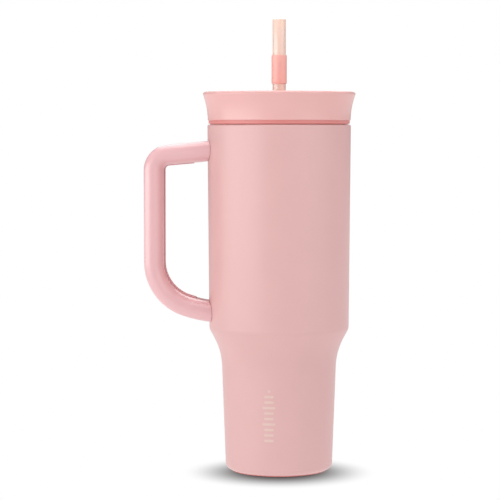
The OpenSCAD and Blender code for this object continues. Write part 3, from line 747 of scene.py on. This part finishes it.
handle = along_handle(
    "handle",
    rounded_loop(
        [(0, -handle_inner_half), (handle_thick, -handle_outer_half),
         (handle_thick, handle_outer_half), (0, handle_inner_half)],
        [handle_inner_round, handle_outer_round, handle_outer_round, handle_inner_round],
        step=6, share=0.6),
    -past_wall,
)

# The ends follow the cup's wall
bpy.ops.object.select_all(action="DESELECT")
bpy.ops.mesh.primitive_cone_add(
    vertices=256, radius1=shoulder_r + handle_seam, radius2=cup_r + handle_seam,
    depth=lip_z - shoulder_z, location=(0, 0, (lip_z + shoulder_z) / 2))
cut(handle, bpy.context.object)

# The rebate and the channel that the grip strip is pressed into
strip_w = 13 * mm
strip_deep = 1.5 * mm
strip_gap = 9.5 * mm
channel_w = 9 * mm
channel_deep = 10.5 * mm
channel_gap = 17 * mm


def slot_section(low, high, width):
    """A plain slot's section, from one depth to another."""
    half = width / 2
    return [(low, -half), (high, -half), (high, half), (low, half)]


cut(handle, along_handle("rebate", slot_section(-mm, strip_deep, strip_w), strip_gap))
cut(handle, along_handle("channel", slot_section(mm, channel_deep, channel_w), channel_gap))

# Sockets for the two brackets, and holes for the screws and their caps
tongue = Vector((4.2, 11, 12)) * mm
saddle = Vector((8.5, 19, 5)) * mm
bracket_fit = 0.25 * mm
screw_inset = 5.2 * mm
cap_hole_r = 3.1 * mm
cap_thick = 1 * mm
head_hole_r = 2.9 * mm
head_deep = 2.72 * mm
shank_hole_r = 1.7 * mm
for arm in (upper_frame, lower_frame):
    for size in (tongue, saddle):
        half = size / 2 + Vector((1, 1, 0)) * bracket_fit
        centre = handle_thick / 2
        cut(handle, placed_block(arm, (centre - half.x, -half.y, -size.z - bracket_fit),
                                 (centre + half.x, half.y, past_wall)))
    cut(handle, placed_disc(arm, shank_hole_r, screw_inset, -mm, centre))
    cut(handle, placed_disc(arm, head_hole_r, screw_inset, -mm, head_deep))
    cut(handle, placed_disc(arm, cap_hole_r, screw_inset, -mm, cap_thick))
tidied(handle, crease=32)
satin_plastic = covered(
    finish("satin_plastic", card(229, 179, 182), 0.32, Specular_IOR_Level=0.8, Coat_Weight=0.4,
           Coat_Roughness=0.24),
    skin, 0.006 * mm, Shade_Change=0.03, Cloud_Scale=70, Grain_Scale=2200, Gloss_Change=0.05,
)
fitted(handle, "cup", "handle_plastic", satin_plastic, "handle_shell")


# ---- Grip strip ----
# A soft rubber strip on the handle's inner face, where the fingers pull. Its rib keys into
# the channel, and its face has a fine cross grain.

strip_proud = 0.5 * mm
strip_fit = 0.1 * mm
strip_half = strip_w / 2 - strip_fit
rib_half = channel_w / 2 - strip_fit
rib_deep = 2.5 * mm
strip_round = 0.4 * mm
cross_fineness = 170
cross_deep = 0.15 * mm
grip = along_handle(
    "grip",
    rounded_loop(
        [(-strip_proud, -strip_half), (strip_deep, -strip_half), (strip_deep, strip_half),
         (-strip_proud, strip_half)],
        [strip_round, 0, 0, strip_round], step=20),
    strip_gap + strip_fit,
)
grip_rib = along_handle(
    "grip_rib", slot_section(mm, strip_deep + rib_deep, 2 * rib_half), channel_gap + strip_fit)
cut(grip, grip_rib, "UNION")
tidied(grip)
grip_rubber = covered(
    finish("grip_rubber", card(206, 136, 140), 0.62, Sheen_Weight=0.15),
    skin, 0.03 * mm, Shade_Change=0.08, Cloud_Scale=150, Grain_Scale=1600, Gloss_Change=0.2,
)
rubber_nodes = grip_rubber.node_tree.nodes
rubber_links = grip_rubber.node_tree.links
cross_waves = rubber_nodes.new("ShaderNodeTexWave")
cross_waves.bands_direction = "Z"
cross_waves.inputs["Scale"].default_value = cross_fineness
cross_place = rubber_nodes.new("ShaderNodeTexCoord")
cross_bump = rubber_nodes.new("ShaderNodeBump")
cross_bump.inputs["Distance"].default_value = cross_deep
rubber_links.new(cross_place.outputs["Object"], cross_waves.inputs["Vector"])
rubber_links.new(cross_waves.outputs["Fac"], cross_bump.inputs["Height"])
rubber_links.new(cross_bump.outputs["Normal"], rubber_nodes["Bump"].inputs["Normal"])
fitted(grip, "cup", "grip_rubber", grip_rubber, "grip_strip")


# ---- Brackets, screws and caps ----
# A pressed steel saddle is welded to the cup at each arm, with a tongue that takes one screw.
# They are hidden in the arms, and a plain plastic cap is pressed over each screw.

screw_steel = covered(
    finish("screw_steel", card(150, 150, 156), 0.3, Metallic=1.0),
    streaks, 0.004 * mm, Shade_Change=0.15, Fineness=4000, Stretch=0.3,
)
carried("upper_bracket", dull_steel)
carried("lower_bracket", dull_steel)
carried("handle_screws", screw_steel)

cap_r = 3.05 * mm
cap_edge = 0.25 * mm
cap_dip = 0.12 * mm
cap_dome_inset = 1.5 * mm
cap_dome = 0.08 * mm
caps = []
for arm in (upper_frame, lower_frame):
    cap = placed_disc(arm, cap_r, screw_inset, 0, cap_thick)
    outward = arm.to_3x3() @ Vector((1, 0, 0))
    pick(cap, faces=lambda middle_point, normal: normal.dot(outward) < -0.9)
    bpy.ops.mesh.inset(thickness=cap_edge, depth=0)
    bpy.ops.transform.translate(value=-outward * cap_dip)
    bpy.ops.mesh.inset(thickness=cap_dome_inset, depth=0)
    bpy.ops.transform.translate(value=outward * cap_dome)
    bpy.ops.object.mode_set(mode="OBJECT")
    caps.append(cap)
screw_caps = tidied(joined("arm_caps", caps))
fitted(screw_caps, "cup", "handle_plastic", satin_plastic, "screw_caps")


# ---- Lid ----
# A thick moulded lid that is pushed into the mouth. Its rim flares out over the cup, its deck
# carries the sip opening and the straw's hub, and its skirt holds the sealing ring.

lid_low, lid_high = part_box("lid_body")
lid_top = lid_high.z
plug_z = lid_low.z
seam = 3.1 * mm
flange_z = lip_z + seam
deck_thick = 2.6 * mm
deck_z = flange_z + deck_thick
lid_step = 0.25 * mm
lid_r = cup_r - lid_step
lid_chamfer = 0.35 * mm
flare_r = 55 * mm
flare_drop = 0.7 * mm
flare_z = flange_z - flare_drop
rim_wall = 3 * mm
rim_round = 1.7 * mm
rim_in_round = 1.0 * mm
rim_clear = 3.2 * mm
bowl_round = 5 * mm
skirt_clear = 1.2 * mm
skirt_r = cup_r - (lip_z - plug_z) * tan(upper_draft) - cavity_inset - skirt_clear
skirt_wall = 2 * mm
skirt_tip = 0.8 * mm
groove_drop = 3.5 * mm
groove_high = 8 * mm
groove_top = lip_z - groove_drop
groove_low = groove_top - groove_high
groove_deep = 1 * mm
grommet_low, grommet_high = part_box("straw_grommet")
straw_low, straw_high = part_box("lower_straw")
straw_r = straw_high.x
straw_clear = 0.08 * mm
sleeve_wall = 2.4 * mm
hub_wall = 2 * mm
hub_drop = 9 * mm
bore_r = straw_r + straw_clear
port_r = bore_r + sleeve_wall
hub_r = port_r + hub_wall
hub_z = flange_z - hub_drop
retainer_low, retainer_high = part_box("shutter_retainer")
retainer_step = 0.4 * mm
hub_head = 0.5 * mm
hub_top = retainer_high.z + hub_head


def flare_at(z):
    """Radius of the lid's side at a height: an arc that leaves the cup upright."""
    return lid_r + flare_r - sqrt(flare_r ** 2 - (z - flare_z) ** 2)


flare_steps = 14
flare = [(flare_at(z), z) for z in
         (flange_z + (lid_top - rim_clear - flange_z) * i / flare_steps
          for i in range(flare_steps + 1))]
bowl = [(r - rim_wall, z) for r, z in reversed(flare) if z > deck_z + bowl_round]
rim_r = flare_at(lid_top)
lid_outline = (
    [(skirt_r, flange_z), (flare[0][0] - lid_chamfer, flange_z),
     (flare[0][0], flange_z + lid_chamfer)]
    + rounded([flare[1], *flare[2:-1], flare[-1], (rim_r, lid_top), (rim_r - rim_wall, lid_top),
               bowl[0], *bowl[1:], (flare_at(deck_z) - rim_wall, deck_z), (hub_r, deck_z)],
              [0] * (len(flare) - 1) + [rim_round, rim_in_round] + [0] * len(bowl)
              + [bowl_round, 0], step=7, share=0.9)
    + [(hub_r, retainer_low.z), (hub_r - retainer_step, retainer_low.z),
       (hub_r - retainer_step, retainer_high.z), (hub_r, retainer_high.z),
       (hub_r - retainer_step, hub_top), (port_r, hub_top), (port_r, hub_z), (hub_r, hub_z),
       (hub_r, flange_z), (skirt_r - skirt_wall, flange_z), (skirt_r - skirt_wall, plug_z),
       (skirt_r - skirt_tip, plug_z), (skirt_r, plug_z + skirt_tip), (skirt_r, groove_low),
       (skirt_r - groove_deep, groove_low), (skirt_r - groove_deep, groove_top),
       (skirt_r, groove_top)]
)
lid = turned("lid", lid_outline, steps=192)


def sector(name, section, middle_angle, span, steps=24):
    """A closed arc of a ring: a section of (radius, height) points spun through a span.
    The spin goes clockwise, so it starts at the far end of the span."""
    piece = drawn(name, [(r, 0, z) for r, z in section + [section[0]]])
    bpy.ops.mesh.edge_face_add()
    bpy.ops.mesh.spin(steps=steps, angle=radians(span), center=(0, 0, 0), axis=(0, 0, 1))
    bpy.ops.object.mode_set(mode="OBJECT")
    piece.rotation_euler.z = radians(middle_angle + span / 2)
    bpy.ops.object.transform_apply(location=True, rotation=True, scale=True)
    return tidied(piece)


def ring_section(r_in, r_out, low, high):
    """A rectangle between two radii and two heights."""
    return [(r_in, low), (r_out, low), (r_out, high), (r_in, high)]


sip_in_r = 32 * mm
sip_out_r = 39 * mm
sip_span = 34
sip_angle = 90
vent_r = 0.9 * mm
past = 1 * mm
sip_hole = sector("sip_hole", ring_section(sip_in_r, sip_out_r, flange_z - past, deck_z + past),
                  sip_angle, sip_span)
bpy.ops.object.select_all(action="DESELECT")
bpy.ops.mesh.primitive_cylinder_add(vertices=32, radius=vent_r, depth=3 * (deck_z - flange_z),
                                    location=(0, -sip_in_r, deck_z))
cut(lid, joined("lid_holes", [sip_hole, bpy.context.object]))

# Ribs under the deck, and the two stops of the shutter on it
rib_count = 8
rib_half = 0.7 * mm
rib_deep = 5 * mm
ribs = []
for i in range(rib_count):
    turn = Matrix.Rotation(2 * pi * (i + 0.5) / rib_count, 4, "Z")
    ribs.append(placed_block(turn, (hub_r - mm, -rib_half, flange_z - rib_deep),
                             (skirt_r - skirt_wall / 2, rib_half, flange_z + past)))
cut(lid, joined("deck_ribs", ribs), "UNION")
wing_margin = 2.6 * mm
wing_out_r = sip_out_r + wing_margin
wing_span = 50
shutter_turn = 60
stop_tall = 2 * mm
stop_high = deck_z + stop_tall
stop_span = 4
stop_gap = 0.6
stop_away = wing_span / 2 + stop_gap + stop_span / 2
stops = [sector("stop", ring_section(sip_in_r, wing_out_r, deck_z - past, stop_high), angle,
                stop_span, steps=4)
         for angle in (sip_angle - stop_away, sip_angle + shutter_turn + stop_away)]
cut(lid, joined("stops", stops), "UNION")
tidied(lid, crease=28)
lid_plastic = covered(
    finish("lid_plastic", card(228, 175, 172), 0.34, Specular_IOR_Level=0.6,
           Subsurface_Weight=0.08, Subsurface_Radius=(1.0, 0.5, 0.4), Subsurface_Scale=0.002),
    skin, 0.012 * mm, Shade_Change=0.04, Cloud_Scale=60, Grain_Scale=2300, Gloss_Change=0.1,
)
fitted(lid, "lid", "lid_plastic", lid_plastic, "lid_body")


# ---- Seals of the lid ----
# Moulded silicone. A band fills the seam between the lid and the lip, and a ring in the
# skirt's groove wipes the inner wall with three thin fins.

band_low, band_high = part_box("rim_seal")
band_r = band_high.x
band_foot = 0.6 * mm
band_step = 1 * mm
band_edge = 0.2 * mm
band_foot_round = 0.2 * mm
band_top_round = 0.1 * mm
band_clear = 0.1 * mm
band_r_in = skirt_r + band_clear
rim_band = turned(
    "rim_band",
    rounded_loop(
        [(band_r_in, flange_z), (band_r_in, band_low.z + band_foot),
         (liner_r, band_low.z + band_foot), (liner_r, band_low.z),
         (band_r - band_step, band_low.z), (band_r - band_step, band_low.z + band_foot),
         (band_r, band_low.z + band_foot), (band_r, flange_z)],
        [0, 0, 0, band_foot_round, band_foot_round, 0, band_edge, band_top_round], step=20),
    steps=192,
)
fitted(rim_band, "lid", "coral_silicone", coral_silicone, "rim_seal")

fin_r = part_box("plug_seal")[1].x
fin_count = 3
fin_thick = 0.9 * mm
fin_root = 0.2 * mm
fin_tip = 0.3 * mm
fin_pitch = (groove_top - groove_low - fin_thick) / (fin_count - 1)
fin_outline = [(skirt_r - groove_deep, groove_top), (skirt_r - groove_deep, groove_low)]
fin_radii = [0, 0]
for i in range(fin_count):
    z = groove_low + i * fin_pitch
    root_z = z if i == 0 else z - fin_root
    fin_outline += [(skirt_r, root_z), (fin_r, z), (fin_r - fin_tip, z + fin_thick),
                    (skirt_r, min(z + fin_thick + fin_root, groove_top))]
    fin_radii += [fin_root, fin_tip, fin_tip, fin_root]
plug_ring = turned("plug_ring", rounded_loop(fin_outline, fin_radii, step=20), steps=192)
fitted(plug_ring, "lid", "coral_silicone", coral_silicone, "plug_seal")


# ---- Straw's grommet and the shutter's retainer ----
# A silicone sleeve lines the hub and grips the straw. A plastic ring snaps into the hub's
# groove and holds the shutter down.

sleeve_lip = 1.2 * mm
sleeve_round = 0.45 * mm
straw_sleeve = turned(
    "straw_sleeve",
    rounded_loop(
        [(bore_r, grommet_low.z), (port_r + sleeve_lip, grommet_low.z),
         (port_r + sleeve_lip, hub_z), (port_r, hub_z), (port_r, hub_top),
         (port_r + sleeve_lip, hub_top), (port_r + sleeve_lip, grommet_high.z),
         (bore_r, grommet_high.z)],
        [sleeve_round, sleeve_round, 0, 0, 0, 0, sleeve_round, sleeve_round], step=15),
    steps=96,
)
fitted(straw_sleeve, "lid", "coral_silicone", coral_silicone, "straw_grommet")

retainer_r = retainer_high.x
retainer_rounds = [0, 0.2 * mm, 0.6 * mm, 0.15 * mm]
retainer_ring = turned(
    "retainer_ring",
    rounded_loop(
        [(hub_r - retainer_step, retainer_low.z), (retainer_r, retainer_low.z),
         (retainer_r, retainer_high.z), (hub_r - retainer_step, retainer_high.z)],
        retainer_rounds, step=15),
    steps=96,
)
fitted(retainer_ring, "lid", "lid_plastic", lid_plastic, "shutter_retainer")


# ---- Shutter ----
# A flat moulded plate that turns round the hub, with a wing over the sip opening and a tab to
# push it by. A silicone pad under the wing closes the opening.

plate_low, plate_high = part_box("shutter")
plate_thick = 3 * mm
disc_w = 9 * mm
disc_r = hub_r + disc_w
wing_round = 2.2 * mm
wing_root = 5 * mm
edge_round = 0.5 * mm
root_step = 1.2 * mm
root_margin = 6
wing_steps = 20


def polar(radius, angle):
    """A point of the plan at a radius and an angle in degrees."""
    return (radius * cos(radians(angle)), radius * sin(radians(angle)))


wing_from = sip_angle - wing_span / 2
wing_to = sip_angle + wing_span / 2
root_from = wing_from - root_margin
root_to = wing_to + root_margin
disc_steps = 60
disc_arc = [polar(disc_r, root_to + (360 - root_to + root_from) * i / disc_steps)
            for i in range(disc_steps + 1)]
wing_arc = [polar(wing_out_r, wing_from + wing_span * i / wing_steps)
            for i in range(wing_steps + 1)]
plan = rounded(
    disc_arc + [polar(disc_r + root_step, wing_from)] + wing_arc
    + [polar(disc_r + root_step, wing_to), disc_arc[0]],
    [0] * (disc_steps + 1) + [wing_root, wing_round] + [0] * (wing_steps - 1)
    + [wing_round, wing_root, 0],
    step=12, share=0.9,
)[:-1]
plate = drawn("plate", [(x, y, plate_low.z) for x, y in plan + [plan[0]]])
bpy.ops.mesh.edge_face_add()
bpy.ops.mesh.extrude_region_move(TRANSFORM_OT_translate={"value": (0, 0, plate_thick)})
tidied(plate)
pick(plate, edges=lambda a, b: abs(a.z - b.z) < 1e-6)
bpy.ops.mesh.bevel(offset=edge_round, segments=3, profile=0.5)
tidied(plate)

# The tab is widest at its foot, and has three grip grooves on each side
tab_in_step = 8 * mm
tab_out_step = 1 * mm
tab_in_r = sip_in_r - tab_in_step
tab_out_r = sip_out_r - tab_out_step
tab_half = 2.25 * mm
tab_foot = plate_low.z + mm
tab_taper = (0.55, 0.62, 1)
tab_round = 0.9 * mm
groove_first = 1.7 * mm
groove_pitch = 1.2 * mm
groove_half = 0.25 * mm
groove_bite = 0.45 * mm
groove_out = 3 * mm
groove_count = 3
groove_taper = 0.6
tab_top = plate_high.z
bpy.ops.object.select_all(action="DESELECT")
bpy.ops.mesh.primitive_cube_add(
    size=1, location=(0, (tab_in_r + tab_out_r) / 2, (tab_foot + tab_top) / 2),
    scale=(2 * tab_half, tab_out_r - tab_in_r, tab_top - tab_foot))
tab = bpy.context.object
bpy.ops.object.transform_apply(location=True, rotation=True, scale=True)
pick(tab, faces=lambda middle_point, normal: normal.z > 0.9)
bpy.ops.transform.resize(value=tab_taper)
pick(tab, edges=lambda a, b: max(a.z, b.z) > tab_top - 1e-6)
bpy.ops.mesh.bevel(offset=tab_round, segments=4, profile=0.5)
bpy.ops.object.mode_set(mode="OBJECT")
grooves = []
for side in (-1, 1):
    for i in range(groove_count):
        groove_z = tab_top - groove_first - groove_pitch * i
        taper = groove_taper + (1 - groove_taper) * i / groove_count
        ends = sorted((side * (tab_half - groove_bite) * taper, side * groove_out))
        grooves.append(placed_block(
            Matrix.Identity(4), (ends[0], tab_in_r - past, groove_z - groove_half),
            (ends[1], tab_out_r + past, groove_z + groove_half)))
cut(tab, joined("tab_grooves", grooves))
cut(plate, tab, "UNION")
hub_clear = 0.08 * mm
hub_hole_r = hub_r + hub_clear
bpy.ops.object.select_all(action="DESELECT")
bpy.ops.mesh.primitive_cylinder_add(vertices=96, radius=hub_hole_r, depth=6 * plate_thick,
                                    location=(0, 0, plate_low.z))
cut(plate, bpy.context.object)
pad_margin = 1.2 * mm
pad_in_r = sip_in_r - pad_margin
pad_out_r = sip_out_r + pad_margin
pad_span = 42
pad_deep = 1.3 * mm
pad_edge_round = 0.3 * mm
cut(plate, sector("pad_room", ring_section(pad_in_r, pad_out_r, plate_low.z - past,
                                           plate_low.z + pad_deep), sip_angle, pad_span))
tidied(plate, crease=35)
shutter_plastic = covered(
    finish("shutter_plastic", card(236, 180, 177), 0.36, Specular_IOR_Level=0.5),
    skin, 0.012 * mm, Shade_Change=0.04, Cloud_Scale=80, Grain_Scale=2300, Gloss_Change=0.1,
)
fitted(plate, "shutter", "shutter_plastic", shutter_plastic, "shutter")

shut_low, shut_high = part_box("shutter_seal")
shut_pad = sector(
    "shut_pad",
    rounded_loop(ring_section(pad_in_r, pad_out_r, shut_low.z, shut_high.z),
                 [pad_edge_round, pad_edge_round, 0, 0], step=20),
    sip_angle, pad_span)
fitted(shut_pad, "shutter", "coral_silicone", coral_silicone, "shutter_seal")


# ---- Straw ----
# Two extruded tubes of milky peach plastic butt against a rib inside a soft silicone collar.
# The foot is notched, so that it still draws when it stands on the floor of the cup.

straw_wall = 0.9 * mm
straw_bore = straw_r - straw_wall
notch_half = 1.5 * mm
notch_high = 4 * mm
low_tube = turned(
    "low_tube", ring_section(straw_bore, straw_r, straw_low.z, straw_high.z), steps=64)
notches = [placed_block(Matrix.Rotation(angle, 4, "Z"),
                        (-2 * straw_r, -notch_half, straw_low.z - past),
                        (2 * straw_r, notch_half, straw_low.z + notch_high))
           for angle in (0, pi / 2)]
for notch in notches:
    cut(low_tube, notch)
tidied(low_tube)
straw_plastic = covered(
    finish("straw_plastic", card(247, 210, 195), 0.18, Specular_IOR_Level=0.8,
           Subsurface_Weight=0.35, Subsurface_Radius=(1.0, 0.6, 0.45), Subsurface_Scale=0.003,
           Coat_Weight=0.25, Coat_Roughness=0.15),
    skin, 0.004 * mm, Shade_Change=0.03, Cloud_Scale=90, Grain_Scale=1800, Gloss_Change=0.06,
)
fitted(low_tube, "straw", "straw_plastic", straw_plastic, "lower_straw")

top_low, top_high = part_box("upper_straw")
tip_round = 0.4 * mm
high_tube = turned(
    "high_tube",
    rounded_loop(ring_section(straw_bore, straw_r, top_low.z, top_high.z),
                 [0, 0, tip_round, tip_round], step=15),
    steps=64)
fitted(high_tube, "straw", "straw_plastic", straw_plastic, "upper_straw")

collar_low, collar_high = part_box("straw_collar")
collar_r = collar_high.x
collar_round = 0.55 * mm
collar_in_round = 0.2 * mm
collar = turned(
    "collar",
    rounded_loop(
        [(straw_r, collar_low.z), (collar_r, collar_low.z), (collar_r, collar_high.z),
         (straw_r, collar_high.z), (straw_r, top_low.z), (straw_bore, top_low.z),
         (straw_bore, straw_high.z), (straw_r, straw_high.z)],
        [collar_in_round, collar_round, collar_round, collar_in_round, 0, 0, 0, 0], step=12),
    steps=96)
collar_silicone = covered(
    finish("collar_silicone", card(248, 180, 170), 0.3, Subsurface_Weight=0.25,
           Subsurface_Radius=(1.0, 0.45, 0.35), Subsurface_Scale=0.002, Coat_Weight=0.15,
           Coat_Roughness=0.25),
    skin, 0.008 * mm, Shade_Change=0.05, Cloud_Scale=140, Grain_Scale=2600, Gloss_Change=0.1,
)
fitted(collar, "straw", "coral_silicone", collar_silicone, "straw_collar")

# A row of plain raised bars on the collar, to grip it by
grip_bar_count = 5
grip_bar_pitch = 2.8 * mm
grip_bar_x = 0.6 * mm
grip_bar_half = (1.9 * mm, 0.7 * mm)
grip_bar_strip = 0.3 * mm
grip_bar_proud = 0.25 * mm
grip_bar_thick = 0.5 * mm
collar_bars = []
for i in range(grip_bar_count):
    z = (collar_low.z + collar_high.z) / 2 + (i - (grip_bar_count - 1) / 2) * grip_bar_pitch
    collar_bars.append(flat_bar((grip_bar_x, -cup_r, z), *grip_bar_half, grip_bar_strip))
raised_bars = laid_on(joined("raised_bars", collar_bars), collar, grip_bar_proud, grip_bar_thick)
fitted(raised_bars, "straw", "coral_silicone", collar_silicone)
